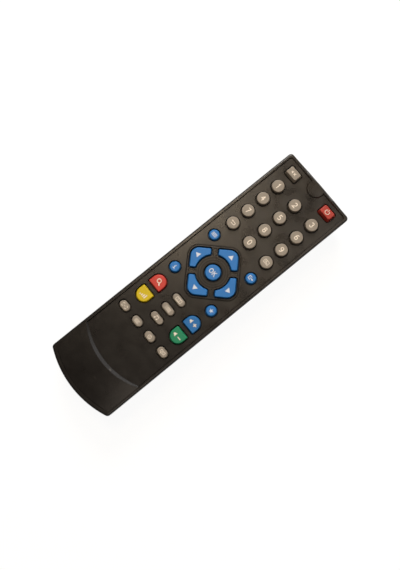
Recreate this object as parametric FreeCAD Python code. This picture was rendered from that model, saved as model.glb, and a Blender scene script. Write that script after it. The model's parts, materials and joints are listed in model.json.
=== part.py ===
# Satellite receiver remote control, lying on its back.
# +Y points to the nose, which is the end with the infrared diode, and -Y to the tail.
# +X is to the right as the keys are read, +Z up. The origin is on the table under the middle.
# All sizes are in millimetres. An inset is a distance from the nose or from the tail.

import FreeCAD, Part
import math
import os
from functools import partial

V = FreeCAD.Vector
UP = V(0, 0, 1)

# Casing seen from above
body_width = 47.0
body_length = 168.0
nose_radius = 920.0          # slight bow of the nose
tail_radius = 55.0
corner_radius = 2.0

# Casing seen from the side
panel_height = 19.3          # key panel above the table
panel_wall = 1.6
wall = 1.8
least_corner = 0.5           # smallest inside corner of a shell
seam_height = 11.0           # the two covers meet here
seam_gap = 0.3
top_edge_radius = 1.2
back_inset = 3.4             # how far the flat back lies inside the outline
nose_undercut = 8.0          # the same at the nose
back_corner_radius = 5.0
hull_turn = 72.0             # degrees that the side turns from upright towards the back
hull_steps = 4

# Rim round the key panel, and the crowned grip below it
rim_rise = 0.6
rim_width = 1.9
rim_slope = 0.4
panel_corner_radius = 1.2
grip_rise = 1.15             # crown of the grip above the rim
grip_side_inset = 27.2       # from the tail to where the slope to the grip leaves the sides
grip_foot_inset = 21.8       # from the tail to the foot of the slope on the middle line
grip_crest_inset = 20.2      # from the tail to its crest on the middle line
crown_depth = 0.5            # how deep the crown reaches into the casing
crown_lead = 4.0             # the crown starts this far before the slope
crown_fade = 2.0             # the crown ends this far before the tail
crown_run = 4.0              # length over which its end slopes to the rounded edge
crown_steps = 5
least_rise = 0.04

# Half-round boss over the diode
boss_radius = 5.1
boss_inset = 3.3
boss_slope = 0.5

# Lap joint of the covers and their screws
tongue_height = 1.2
tongue_thickness = 0.8
fit_gap = 0.1
thread_gap = 0.05            # between a screw and the hole in its post
screw_radius = 1.1
screw_length = 8.0
screw_head_radius = 2.0
screw_head_height = 1.4
screw_seat = 2.0             # plastic under the head
screw_tip = 1.0
screw_slot_reach = 1.2       # half length of the cross in the head
screw_slot_width = 0.5
screw_slot_depth = 0.7
head_gap = 0.3
post_wall = 1.0              # round the well of a screw head
post_radius = 2.5
front_screw_x = 6.8
front_screw_inset = 23.4     # from the nose
rear_screw_side = 6.1         # from the side
rear_screw_inset = 16.0      # from the tail

# Keypad
key_travel = 0.9
key_gap = 0.45               # between a key and the edge of its opening
key_taper = 0.2
key_edge_radius = 0.35
lip_width = 0.6              # what the flange of a key reaches under the panel
lip_thickness = 0.6
lip_gap = 0.05
opening_bevel = 0.2
stem_radius = 1.6
stem_gap = 0.3
press_gap = 0.02             # left between a pressed key and the board
mat_thickness = 0.9
mat_gap = 0.1                # left between a pressed flange and the mat
board_thickness = 1.2

# Number keys, in three columns
number_radius = 3.45
number_height = 2.4
column_side = 9.93           # from the side to the middle of the outer column
row_pitch = 10.31
zero_row_inset = 49.22

# Mute and power keys
wedge_width = 7.7
wedge_length = 5.75
wedge_corner = 0.8
wedge_height = 2.5
wedge_taper_x = 0.35
wedge_taper_y = 0.72
wedge_inset = 7.65

# Navigation keys
nav_inset = 74.0
nav_height = 0.9
ok_radius = 4.3
petal_reach = 17.98          # half diagonal of the square that the four keys form
petal_inner_radius = 9.4
petal_split = 1.85           # from a diagonal of the square to the end of a key
petal_nose_radius = 4.55
petal_corner = 0.9
petal_stem = 12.6
pad_reach = 20.0
pad_corner = 5.8
pad_rise = 0.3
pad_slope = 0.3
channel_width = 1.2          # shallow channels of the pad between the navigation keys
channel_start = 8.7          # from the middle of the pad
channel_end = 13.0
channel_depth = 0.25
channel_slope = 0.15
bead_width = 0.8             # flat bead along the edge of the pad
bead_rise = 0.12
ring_radii = (6.5, 7.8)      # fine grooves round the middle key
ring_width = 0.3
ring_depth = 0.1

# Round blue keys at the corners of the navigation keys
function_radius = 2.95
function_height = 1.0
function_taper = 0.55
function_side = 8.5          # from the side
function_up = 13.3
function_down = 13.45

# Coloured keys with one round end
colour_width = 8.35
colour_length = 7.6
colour_corner = 0.7
colour_side = 9.5            # from the side
colour_inset = 104.1
colour_split = 1.5           # from the row's middle to the flat end of a key
low_height = 0.7
low_taper = 0.4              # also of the navigation keys

# Oblong grey keys between and below them
oval_width = 8.15
oval_length = 3.9
oval_pitch = 7.3
oval_inset = 104.25
oblong_width = 6.5
oblong_length = 4.3
oblong_side = 7.9            # from the side to the middle of the outer keys
oblong_count = 4
oblong_inset = 120.55

# Board and its parts
board_gap = 1.0
board_tail = 5.5             # board beyond the middle of the lowest keys
board_corner = 2.0
hole_gap = 0.3
rest_radius = 1.5
rest_side = 5.5              # from the side
rest_insets = (18.0, 84.0)
chip_size = (7.5, 12.8, 2.4)
chip_inset = 72.0
pin_count = 10
pin_pitch = 1.27
pin_size = (1.1, 0.45, 0.3)
resonator_size = (7.0, 3.2, 8.0)
resonator_side = 11.5        # from the side
resonator_inset = 54.0
capacitor_radius = 2.5
capacitor_length = 7.0
capacitor_side = 12.5
capacitor_inset = 40.0
capacitor_bead = 0.3
capacitor_bead_start = 1.0
resistor_radius = 0.9
resistor_length = 3.6
resistor_pitch = 3.2
resistor_count = 3
resistor_side = 14.5
resistor_inset = 34.0
transistor_radius = 2.3
transistor_flat = 1.2
transistor_height = 4.6
transistor_side = 13.5
transistor_inset = 17.0
lead = 0.5
lead_stand = 1.2             # length of a lead between its part and the board
lead_reach = 1.5             # length of a resistor's lead beyond its end

# Infrared diode
diode_radius = 2.5
diode_flange_radius = 2.9
diode_flange = 1.0
diode_length = 8.6
diode_inset = 0.3            # the tip lies this far inside the nose
diode_gap = 0.15
diode_pocket = 0.4
diode_lead_run = 4.0
diode_lead_pitch = 2.54

# Two cells side by side
cell_radius = 5.25
cell_length = 44.5
cell_button_radius = 1.9
cell_button = 0.8
cell_edge = 0.5
cell_gap = 0.6
cell_clearance = 0.25
bay_wall = 1.2
bay_roof = 1.0
bay_inset = 6.2              # from the tail
contact_thickness = 0.4
contact_width = 8.0
contact_height = 7.0
dimple_radius = 1.5
dimple = 0.5
spring_wire = 0.25
spring_base = 3.6
spring_cone = 12.0           # half angle of the spring, in degrees
spring_turns = 3.5
spring_length = 4.4
tab_width = 3.0
tab_gap = 0.2

# Battery door
door_thickness = 1.5
door_recess = 0.15           # the door lies this far inside the back
door_side = 1.7              # what the door covers beside the bay
door_gap = 0.2
door_front = 1.3             # what the door covers in front of the bay
rail_width = 1.0
rail_thickness = 0.75
ledge = 1.2
door_ribs = 6
door_rib_pitch = 1.6
door_rib_width = 0.7
door_rib_length = 13.0
door_rib_depth = 0.5
door_rib_start = 6.0

# Places along the remote that follow from the sizes above
nose_y = body_length / 2
tail_y = -body_length / 2
boss_y = nose_y - boss_inset
wedge_y = nose_y - wedge_inset
zero_row_y = nose_y - zero_row_inset
nav_y = nose_y - nav_inset
colour_row_y = nose_y - colour_inset
oval_y = nose_y - oval_inset
oblong_y = nose_y - oblong_inset
diode_back_y = nose_y - diode_inset - diode_length
board_front_y = nose_y - wall - board_gap
board_back_y = oblong_y - board_tail
bay_back_y = tail_y + bay_inset
bay_front_y = bay_back_y + cell_length + spring_length + dimple + 2 * contact_thickness

# Places across the remote that follow from the sizes above
side_x = body_width / 2
rear_screw_x = side_x - rear_screw_side
column_pitch = side_x - column_side
function_x = side_x - function_side
colour_x = side_x - colour_side
oblong_pitch = 2 * (side_x - oblong_side) / (oblong_count - 1)
rest_x = side_x - rest_side
resonator_x = resonator_side - side_x
capacitor_x = side_x - capacitor_side
resistor_x = resistor_side - side_x
transistor_x = side_x - transistor_side

# Heights and widths that follow from the sizes above
rim_height = panel_height + rim_rise
pad_floor = panel_height + pad_rise - bead_rise
ceiling = panel_height - panel_wall
lip_top = ceiling - lip_gap
lip_bottom = lip_top - lip_thickness
mat_top = lip_bottom - key_travel - mat_gap
board_top = mat_top - mat_thickness
board_bottom = board_top - board_thickness
stem_bottom = board_top + press_gap + key_travel
door_inside = door_recess + door_thickness
door_room = door_inside + door_gap
cell_height = door_inside + cell_clearance + cell_radius
bay_ceiling = cell_height + cell_radius + cell_clearance
screw_head_top = seam_height - screw_seat
diode_height = board_top + lead / 2
cell_x = cell_radius + cell_gap / 2
bay_half = cell_x + cell_radius + cell_clearance
board_half = side_x - wall - board_gap


def unit(vector):
    return vector / vector.Length


def arc(start, middle, end):
    return Part.Arc(start, middle, end).toShape()


def line(start, end):
    return Part.makeLine(start, end)


def prism(wire, height):
    return Part.Face(wire).extrude(V(0, 0, height))


def box(x0, x1, y0, y1, z0, z1):
    return Part.makeBox(x1 - x0, y1 - y0, z1 - z0, V(x0, y0, z0))


def block(x, y, width, length, z0, z1):
    return box(x - width / 2, x + width / 2, y - length / 2, y + length / 2, z0, z1)


def cylinder(x, y, radius, z0, z1):
    return Part.makeCylinder(radius, z1 - z0, V(x, y, z0))


def cylinder_y(x, z, radius, y0, y1):
    return Part.makeCylinder(radius, y1 - y0, V(x, y0, z), V(0, 1, 0))


def joined(shapes):
    return shapes[0].fuse(shapes[1:]).removeSplitter()


def mirrored(point):
    return V(-point.x, point.y, point.z)


def end_corner(half, centre_y, radius, corner, side, z):
    """Points of the right-hand corner between a straight side and a round end."""
    x = half - corner
    y = centre_y + side * math.sqrt((radius - corner) ** 2 - x ** 2)
    middle = V(x, y, z)
    on_side = V(half, y, z)
    centre = V(0, centre_y, z)
    on_end = centre + unit(middle - centre) * radius
    between = middle + unit(unit(on_side - middle) + unit(on_end - middle)) * corner
    return on_side, between, on_end


def casing_wire(z, inset=0.0, nose=0.0, tail=0.0, corner=corner_radius):
    """Outline of the casing at height z, drawn in by inset, and further at its two ends."""
    half = body_width / 2 - inset
    nose_arc = nose_radius - inset - nose
    tail_arc = tail_radius - inset - tail
    nose_centre = nose_y - nose_radius
    tail_centre = tail_y + tail_radius
    n_side, n_mid, n_end = end_corner(half, nose_centre, nose_arc, corner, 1, z)
    t_side, t_mid, t_end = end_corner(half, tail_centre, tail_arc, corner, -1, z)
    nose_tip = V(0, nose_centre + nose_arc, z)
    tail_tip = V(0, tail_centre - tail_arc, z)
    return Part.Wire([
        arc(mirrored(n_end), nose_tip, n_end),
        arc(n_end, n_mid, n_side),
        line(n_side, t_side),
        arc(t_side, t_mid, t_end),
        arc(t_end, tail_tip, mirrored(t_end)),
        arc(mirrored(t_end), mirrored(t_mid), mirrored(t_side)),
        line(mirrored(t_side), mirrored(n_side)),
        arc(mirrored(n_side), mirrored(n_mid), mirrored(n_end)),
    ])


def casing_block(inset, z0, z1):
    corner = max(corner_radius - inset, least_corner)
    return prism(casing_wire(z0, inset, corner=corner), z1 - z0)


def hull(inset):
    """The casing below the seam, whose sides turn in towards the flat back."""
    sections = []
    for step in range(hull_steps + 1):
        turn = math.radians(hull_turn * (1 - step / hull_steps))
        full = math.radians(hull_turn)
        lift = 1 - math.sin(turn) / math.sin(full)
        draw = (1 - math.cos(turn)) / (1 - math.cos(full))
        height = inset + (seam_height - inset) * lift
        corner = corner_radius + (back_corner_radius - corner_radius) * draw - inset
        drawn_in = inset + back_inset * draw
        nose = (nose_undercut - back_inset) * draw
        sections.append(casing_wire(height, drawn_in, nose, 0.0, max(corner, least_corner)))
    return Part.makeLoft(sections, True, False)


def rounded_wire(corners, z):
    """Closed wire through corners (x, y, radius), each rounded by its radius."""
    starts, edges = [], []
    count = len(corners)
    for i in range(count):
        here = V(corners[i][0], corners[i][1], z)
        radius = corners[i][2]
        back = unit(V(corners[i - 1][0], corners[i - 1][1], z) - here)
        ahead = unit(V(corners[(i + 1) % count][0], corners[(i + 1) % count][1], z) - here)
        half_angle = back.getAngle(ahead) / 2
        run = radius / math.tan(half_angle)
        inward = unit(back + ahead)
        middle = here + inward * (radius / math.sin(half_angle) - radius)
        starts.append((here + back * run, middle, here + ahead * run))
    for i in range(count):
        start, middle, end = starts[i]
        following = starts[(i + 1) % count][0]
        edges.append(arc(start, middle, end))
        if (following - end).Length > 1e-6:
            edges.append(line(end, following))
    return Part.Wire(edges)


def circle_wire(x, y, radius, z, grow):
    return Part.Wire(Part.makeCircle(radius + grow, V(x, y, z)))


def block_wire(x, y, width, length, corner, z, grow):
    half_x = width / 2 + grow
    half_y = length / 2 + grow
    radius = corner + grow
    signs = ((-1, -1), (1, -1), (1, 1), (-1, 1))
    return rounded_wire([(x + i * half_x, y + j * half_y, radius) for i, j in signs], z)


def colour_wire(x, flat_y, side, z, grow):
    """Key with one flat end at flat_y and one half-round end, above it where side is 1."""
    half = colour_width / 2 + grow
    flat = flat_y - side * grow
    far = flat_y + side * (colour_length + grow)
    corners = [(x - side * half, flat, colour_corner + grow), (x + side * half, flat, colour_corner + grow)]
    corners += [(x + side * half, far, half), (x - side * half, far, half)]
    return rounded_wire(corners, z)


def square_wire(reach, corner, z, grow):
    """Square round the navigation keys that stands on its corner."""
    tip = reach + grow * math.sqrt(2)
    radius = corner + grow
    corners = [(0, nav_y - tip, radius), (tip, nav_y, radius)]
    corners += [(0, nav_y + tip, radius), (-tip, nav_y, radius)]
    return rounded_wire(corners, z)


def petal_wire(angle, z, grow):
    """Navigation key: a corner of the square, cut by a circle and by the square's diagonals."""
    reach = petal_reach + grow * math.sqrt(2)
    split = (petal_split - grow) * math.sqrt(2)
    inner = petal_inner_radius - grow
    corner = petal_corner + grow
    nose = petal_nose_radius + grow
    slant = unit(V(1, 1, 0))
    fall = unit(V(1, -1, 0))
    tip = V(0, reach - nose * math.sqrt(2) + nose, 0)
    nose_end = V(0, reach - nose * math.sqrt(2), 0) + slant * nose
    outer = V((reach - split) / 2, (reach + split) / 2, 0)
    outer_start = outer - fall * corner
    outer_end = outer - slant * corner
    outer_mid = outer - (slant + fall) * corner + unit(slant + fall) * corner
    shifted = split + corner * math.sqrt(2)
    x = (math.sqrt(2 * (inner + corner) ** 2 - shifted ** 2) - shifted) / 2
    inner_centre = V(x, x + shifted, 0)
    inner_start = inner_centre + fall * corner
    inner_end = inner_centre - unit(inner_centre) * corner
    inner_mid = inner_centre + unit(fall - unit(inner_centre)) * corner
    points = [nose_end, outer_start, outer_mid, outer_end, inner_start, inner_mid, inner_end]
    left = [mirrored(point) for point in points]
    edges = [arc(left[0], tip, nose_end)]
    edges += [line(points[0], points[1]), arc(points[1], points[2], points[3])]
    edges += [line(points[3], points[4]), arc(points[4], points[5], points[6])]
    edges += [arc(points[6], V(0, inner, 0), left[6])]
    edges += [arc(left[6], left[5], left[4]), line(left[4], left[3])]
    edges += [arc(left[3], left[2], left[1]), line(left[1], left[0])]
    wire = Part.Wire(edges)
    wire.rotate(V(0, 0, 0), UP, angle)
    wire.translate(V(0, nav_y, z))
    return wire


def wedge_top(x, z):
    width = wedge_width - 2 * wedge_taper_x
    length = wedge_length - 2 * wedge_taper_y
    return block_wire(x, wedge_y, width, length, wedge_corner, z, 0.0)


def keypad():
    """All keys as name: (outline, place of the stem, height over the panel, outline of the top)."""
    keys = {}

    def add(name, outline, x, y, height, taper=key_taper, top=None):
        keys[name] = (outline, (x, y), height, top or partial(outline, grow=-taper))

    for number in range(1, 10):
        x = ((number - 1) % 3 - 1) * column_pitch
        y = zero_row_y + (3 - (number - 1) // 3) * row_pitch
        add(f"key_{number}", partial(circle_wire, x, y, number_radius), x, y, number_height)
    for name, column in (("recall_key", -1), ("key_0", 0), ("subtitle_key", 1)):
        x = column * column_pitch
        add(name, partial(circle_wire, x, zero_row_y, number_radius), x, zero_row_y, number_height)

    for name, side in (("mute_key", -1), ("power_key", 1)):
        x = side * column_pitch
        outline = partial(block_wire, x, wedge_y, wedge_width, wedge_length, wedge_corner)
        add(name, outline, x, wedge_y, wedge_height, top=partial(wedge_top, x))

    add("ok_key", partial(circle_wire, 0, nav_y, ok_radius), 0, nav_y, nav_height, low_taper)
    for quarter, name in enumerate(("up_key", "left_key", "down_key", "right_key")):
        angle = math.radians(90 * quarter)
        x = -petal_stem * math.sin(angle)
        y = nav_y + petal_stem * math.cos(angle)
        add(name, partial(petal_wire, 90 * quarter), x, y, nav_height, low_taper)

    corners = (("menu_key", -1, function_up), ("exit_key", 1, function_up))
    corners += (("info_key", -1, -function_down), ("favourites_key", 1, -function_down))
    for name, side, rise in corners:
        x, y = side * function_x, nav_y + rise
        add(name, partial(circle_wire, x, y, function_radius), x, y, function_height, function_taper)

    colours = (("search_key", -1, 1), ("scan_key", -1, -1))
    colours += (("volume_up_key", 1, 1), ("volume_down_key", 1, -1))
    for name, column, side in colours:
        x = column * colour_x
        flat = colour_row_y + side * colour_split
        stem_y = flat + side * colour_length / 2
        add(name, partial(colour_wire, x, flat, side), x, stem_y, low_height, low_taper)

    for row, name in enumerate(("guide_key", "list_key", "audio_key")):
        y = oval_y + (1 - row) * oval_pitch
        outline = partial(block_wire, 0, y, oval_width, oval_length, oval_length / 2)
        add(name, outline, 0, y, low_height, low_taper)
    for place, name in enumerate(("zoom_key", "text_key", "timer_key", "language_key")):
        x = (place - (oblong_count - 1) / 2) * oblong_pitch
        outline = partial(block_wire, x, oblong_y, oblong_width, oblong_length, oblong_length / 2)
        add(name, outline, x, oblong_y, low_height, low_taper)
    return keys


def key_solid(outline, stem, height, top):
    """Cap that stands through the panel, flange that holds it in, and stem over the contact."""
    top_z = panel_height + height
    sections = [outline(z=lip_top, grow=0.0), outline(z=panel_height, grow=0.0), top(z=top_z)]
    cap = Part.makeLoft(sections, True, True)
    edges = [edge for edge in cap.Edges if edge.BoundBox.ZMin > top_z - 1e-3]
    cap = cap.makeFillet(key_edge_radius, edges)
    flange = prism(outline(z=lip_bottom, grow=key_gap + lip_width), lip_thickness)
    return joined([cap, flange, cylinder(*stem, stem_radius, stem_bottom, lip_bottom)])


def key_opening(outline, top_z):
    """Opening of the panel for a key, bevelled at its upper edge."""
    hole = prism(outline(z=ceiling - panel_wall, grow=key_gap), 3 * panel_wall)
    sections = [outline(z=top_z - opening_bevel, grow=key_gap)]
    sections.append(outline(z=top_z + opening_bevel, grow=key_gap + 2 * opening_bevel))
    return hole.fuse(Part.makeLoft(sections, True, True))


def panel_wire(z, rise):
    """Edge of the sunken key panel at the given rise above it."""
    spread = rim_slope * rise / rim_rise
    half = body_width / 2 - rim_width - rim_slope + spread
    front = nose_y - rim_width - rim_slope + spread
    drawn_back = rise * (grip_foot_inset - grip_crest_inset) / (rim_rise + grip_rise)
    side_end = tail_y + grip_side_inset - drawn_back
    back = tail_y + grip_foot_inset - drawn_back
    corner = panel_corner_radius
    turn = corner * (1 - math.sqrt(0.5))
    right = [V(half - corner, front, z), V(half - turn, front - turn, z)]
    right += [V(half, front - corner, z), V(half, side_end, z)]
    left = [mirrored(point) for point in right]
    return Part.Wire([
        line(left[0], right[0]),
        arc(right[0], right[1], right[2]),
        line(right[2], right[3]),
        arc(right[3], V(0, back, z), left[3]),
        line(left[3], left[2]),
        arc(left[2], left[1], left[0]),
    ])


def crown(drop):
    """Pillow-shaped crown of the grip, lowered by drop."""
    half = body_width / 2 - rim_width
    start = tail_y + grip_side_inset + crown_lead
    end = tail_y + crown_fade
    z = rim_height - drop
    sections = []
    for step in range(crown_steps + 1):
        place = step / crown_steps
        y = start + (end - start) * place
        rise = max(grip_rise * (1 - place ** 3), least_rise)
        low = [V(half, y, z - crown_depth), V(-half, y, z - crown_depth)]
        ends = [V(-half, y, z), V(half, y, z)]
        edges = [line(low[0], low[1]), line(low[1], ends[0])]
        edges += [arc(ends[0], V(0, y, z + rise), ends[1]), line(ends[1], low[0])]
        sections.append(Part.Wire(edges))
    return Part.makeLoft(sections, True, False)


def diode_boss():
    height = rim_height - panel_height
    boss = Part.makeCone(boss_radius, boss_radius - boss_slope, height, V(0, boss_y, panel_height))
    return boss.common(casing_block(rim_width / 2, panel_height, rim_height))


def navigation_pad():
    sections = [square_wire(pad_reach, pad_corner, panel_height, 0.0)]
    sections.append(square_wire(pad_reach, pad_corner, panel_height + pad_rise, -pad_slope))
    floor = square_wire(pad_reach, pad_corner, pad_floor, -pad_slope - bead_width)
    return Part.makeLoft(sections, True, True).cut(prism(floor, pad_rise))


def pad_rings():
    rings = []
    for radius in ring_radii:
        ring = cylinder(0, nav_y, radius + ring_width / 2, pad_floor - ring_depth, pad_floor + pad_rise)
        rings.append(ring.cut(cylinder(0, nav_y, radius - ring_width / 2, panel_height, rim_height)))
    return rings


def pad_channels():
    low = pad_floor - channel_depth
    middle = (channel_start + channel_end) / 2
    length = channel_end - channel_start
    outline = partial(block_wire, middle, 0, length, channel_width, channel_width / 2)
    channels = []
    for quarter in range(4):
        sections = [outline(z=low, grow=0.0), outline(z=low + 2 * channel_depth, grow=2 * channel_slope)]
        channel = Part.makeLoft(sections, True, True)
        channel.rotate(V(0, 0, 0), UP, 45 + 90 * quarter)
        channel.translate(V(0, nav_y, 0))
        channels.append(channel)
    return channels


def screw_places():
    places = [(side * front_screw_x, nose_y - front_screw_inset) for side in (-1, 1)]
    return places + [(side * rear_screw_x, tail_y + rear_screw_inset) for side in (-1, 1)]


def top_cover(keys):
    shell = casing_block(0.0, seam_height, rim_height)
    edges = [edge for edge in shell.Edges if edge.BoundBox.ZMin > rim_height - 1e-3]
    shell = shell.makeFillet(top_edge_radius, edges)
    low, high = rim_height - crown_depth, rim_height + grip_rise
    limits = [casing_wire(low, top_edge_radius, corner=least_corner)]
    limits.append(casing_wire(high, top_edge_radius, tail=crown_run, corner=least_corner))
    shell = shell.fuse(crown(0.0).common(Part.makeLoft(limits, True, True)))

    depth = rim_rise + 2 * grip_rise
    edges_of_panel = [panel_wire(panel_height, 0.0), panel_wire(panel_height + depth, depth)]
    recess = Part.makeLoft(edges_of_panel, True, True)
    shell = shell.cut(recess)
    shell = shell.fuse([diode_boss(), navigation_pad()])
    shell = shell.cut(pad_rings() + pad_channels())

    room = casing_block(wall, seam_height, ceiling)
    grip_room = crown(wall + crown_depth).common(casing_block(wall, seam_height, rim_height))
    grip_room = grip_room.common(
        box(-body_width, body_width, tail_y, tail_y + grip_crest_inset - wall, seam_height, rim_height))
    lap = casing_block(wall - tongue_thickness - fit_gap, seam_height, seam_height + tongue_height)
    pocket = cylinder_y(0, diode_height, diode_flange_radius + diode_pocket,
                        diode_back_y - diode_pocket, nose_y - wall)
    window = cylinder_y(0, diode_height, diode_radius + diode_gap, diode_back_y, nose_y + wall)
    shell = shell.cut([room, grip_room, lap, pocket, window])

    raised = ("ok_key", "up_key", "down_key", "left_key", "right_key")
    openings = []
    for name, (outline, stem, height, top) in keys.items():
        openings.append(key_opening(outline, pad_floor if name in raised else panel_height))
    shell = shell.cut(openings)

    posts = [cylinder(x, y, post_radius, seam_height, ceiling + fit_gap) for x, y in screw_places()]
    shell = shell.fuse(posts)
    pilot_top = screw_head_top + screw_length + fit_gap
    pilots = [cylinder(x, y, screw_radius + thread_gap, seam_height, pilot_top)
              for x, y in screw_places()]
    return shell.cut(pilots).removeSplitter()


def door_space(gap, front_gap):
    """Room that the battery door takes in the back, with its two side rails."""
    half = bay_half + door_side + gap
    front = bay_front_y + door_front + front_gap
    top = door_inside + gap
    plate = box(-half, half, -body_length, front, door_recess - gap, top)
    rail_z = door_inside - rail_thickness - gap
    rails = box(-half - rail_width, half + rail_width, -body_length, front, rail_z, top)
    return plate, rails


def bottom_cover():
    outside = hull(0.0)
    shell = outside.cut(hull(wall))
    low = seam_height - seam_gap
    tongue = casing_block(wall - tongue_thickness, low, seam_height + tongue_height - fit_gap)
    tongue = tongue.cut(casing_block(wall, low, seam_height + tongue_height))
    reveal = casing_block(-seam_gap, low, seam_height)
    reveal = reveal.cut(casing_block(wall - tongue_thickness, low, seam_height))
    shell = shell.cut(reveal).fuse(tongue)

    outer = bay_half + bay_wall
    roof = bay_ceiling + bay_roof
    ledge_half = bay_half + door_side + door_gap + rail_width + ledge
    added = [box(-outer, outer, bay_back_y - bay_wall, bay_front_y + bay_wall, door_room, roof)]
    added.append(box(-ledge_half, ledge_half, -body_length, bay_front_y + door_front + ledge,
                     door_recess, door_room + ledge))
    well = screw_head_radius + head_gap
    added += [cylinder(x, y, well + post_wall, wall / 2, seam_height) for x, y in screw_places()]
    added += [cylinder(side * rest_x, y, rest_radius, wall / 2, board_bottom)
              for side in (-1, 1) for y in (nose_y - inset for inset in rest_insets)]
    envelope = outside.fuse(casing_block(wall, seam_height, board_bottom))
    shell = shell.fuse([piece.common(envelope) for piece in added])

    plate, rails = door_space(door_gap, door_gap)
    below = box(-bay_half - door_side - door_gap, bay_half + door_side + door_gap, -body_length,
                bay_front_y + door_front + door_gap, -wall, door_recess)
    bay = box(-bay_half, bay_half, bay_back_y, bay_front_y, door_recess, bay_ceiling)
    removed = [plate, rails, below, bay]
    for side in (-1, 1):
        x = side * cell_x
        slot_y = bay_front_y - (contact_thickness + tab_gap) / 2
        slot_length = contact_thickness + tab_gap
        removed.append(block(x, slot_y, tab_width + 2 * tab_gap, slot_length, bay_ceiling, roof))
    for x, y in screw_places():
        removed.append(cylinder(x, y, well, -wall, screw_head_top))
        removed.append(cylinder(x, y, screw_radius + fit_gap, -wall, seam_height))
    return shell.cut(removed).removeSplitter()


def battery_door():
    plate, rails = door_space(0.0, 0.0)
    door = plate.fuse(rails).common(hull(0.0))
    front = bay_front_y + door_front - door_rib_start
    grooves = []
    for place in range(door_ribs):
        y = front - place * door_rib_pitch
        grooves.append(box(-door_rib_length / 2, door_rib_length / 2, y - door_rib_width, y,
                           -wall, door_recess + door_rib_depth))
    return door.cut(grooves).removeSplitter()


def layer(z, thickness, inset, keys):
    """Flat layer of the board's outline, with holes for the screw posts."""
    half = board_half - inset
    front = board_front_y - inset
    back = board_back_y + inset
    centre_y = (front + back) / 2
    sheet = prism(block_wire(0, centre_y, 2 * half, front - back, board_corner, z, 0.0), thickness)
    holes = [cylinder(x, y, post_radius + hole_gap, z, z + thickness) for x, y in screw_places()]
    for outline, stem, height, top in keys.values():
        holes.append(cylinder(*stem, stem_radius + stem_gap, z, z + thickness))
    return sheet.cut(holes)


def diode_notch(start):
    half = diode_flange_radius + diode_pocket
    return box(-half, half, start, body_length, 0.0, rim_height)


def circuit_board():
    board = layer(board_bottom, board_thickness, 0.0, {})
    board = board.cut(diode_notch(diode_back_y - diode_pocket))
    leads = [cylinder(side * diode_lead_pitch / 2, diode_back_y - diode_lead_run + lead / 2, lead,
                      board_bottom, board_top) for side in (-1, 1)]
    return board.cut(leads)


def key_mat(keys):
    mat = layer(board_top, mat_thickness, fit_gap, keys)
    return mat.cut(diode_notch(diode_back_y - diode_lead_run - lead))


def infrared_diode():
    front = nose_y - diode_inset
    body = cylinder_y(0, diode_height, diode_radius, diode_back_y, front - diode_radius)
    dome = Part.makeSphere(diode_radius, V(0, front - diode_radius, diode_height))
    flange = cylinder_y(0, diode_height, diode_flange_radius, diode_back_y, diode_back_y + diode_flange)
    parts = [body, dome, flange]
    for side in (-1, 1):
        x = side * diode_lead_pitch / 2
        top = board_top + lead
        run_y = diode_back_y - diode_lead_run / 2
        leg_y = diode_back_y - diode_lead_run + lead / 2
        parts.append(block(x, run_y, lead, diode_lead_run, board_top, top))
        parts.append(block(x, leg_y, lead, lead, board_bottom - lead, top))
    return joined(parts)


def controller_chip():
    width, length, height = chip_size
    reach, breadth, thickness = pin_size
    low = board_bottom - height
    middle = nose_y - chip_inset
    foot_z = board_bottom - thickness
    parts = [block(0, middle, width, length, low, foot_z)]
    for side in (-1, 1):
        for place in range(pin_count):
            y = middle + (place - (pin_count - 1) / 2) * pin_pitch
            x = side * (width / 2 + reach / 2)
            parts.append(block(x, y, reach, breadth, foot_z, board_bottom))
            parts.append(block(side * width / 2, y, 2 * thickness, breadth, low + height / 2, board_bottom))
    return joined(parts)


def lead_pair(x, y, spacing):
    """Two leads that stand under the board."""
    low = board_bottom - lead_stand - lead
    return [block(x + side * spacing / 2, y, lead, lead, low, board_bottom) for side in (-1, 1)]


def resonator():
    x, y = resonator_x, nose_y - resonator_inset
    width, depth, height = resonator_size
    low = board_bottom - lead_stand - height
    body = prism(block_wire(x, y, width, depth, depth / 3, low, 0.0), height)
    return joined([body] + lead_pair(x, y, width / 2))


def capacitor():
    x, y = capacitor_x, nose_y - capacitor_inset
    z = board_bottom - lead_stand - capacitor_radius
    can = cylinder_y(x, z, capacitor_radius, y, y + capacitor_length)
    bead_y = y + capacitor_bead_start
    groove = cylinder_y(x, z, capacitor_radius, bead_y, bead_y + 2 * capacitor_bead)
    groove = groove.cut(cylinder_y(x, z, capacitor_radius - capacitor_bead, y, y + capacitor_length))
    parts = [can.cut(groove)]
    for side in (-1, 1):
        lead_x = x + side * capacitor_radius / 2
        parts.append(block(lead_x, y - lead_stand / 2, lead, lead_stand, z - lead / 2, z + lead / 2))
        parts.append(block(lead_x, y - lead_stand, lead, lead, z - lead / 2, board_bottom))
    return joined(parts)


def resistors():
    group = []
    x = resistor_x
    z = board_bottom - resistor_radius
    for place in range(resistor_count):
        y = nose_y - resistor_inset + place * resistor_pitch
        start = V(x - resistor_length / 2, y, z)
        parts = [Part.makeCylinder(resistor_radius, resistor_length, start, V(1, 0, 0))]
        length = resistor_length + 2 * lead_reach
        parts.append(block(x, y, length, lead, z - lead / 2, z + lead / 2))
        for side in (-1, 1):
            end_x = x + side * (length - lead) / 2
            parts.append(block(end_x, y, lead, lead, z - lead / 2, board_bottom))
        group.append(joined(parts))
    return Part.makeCompound(group)


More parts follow.
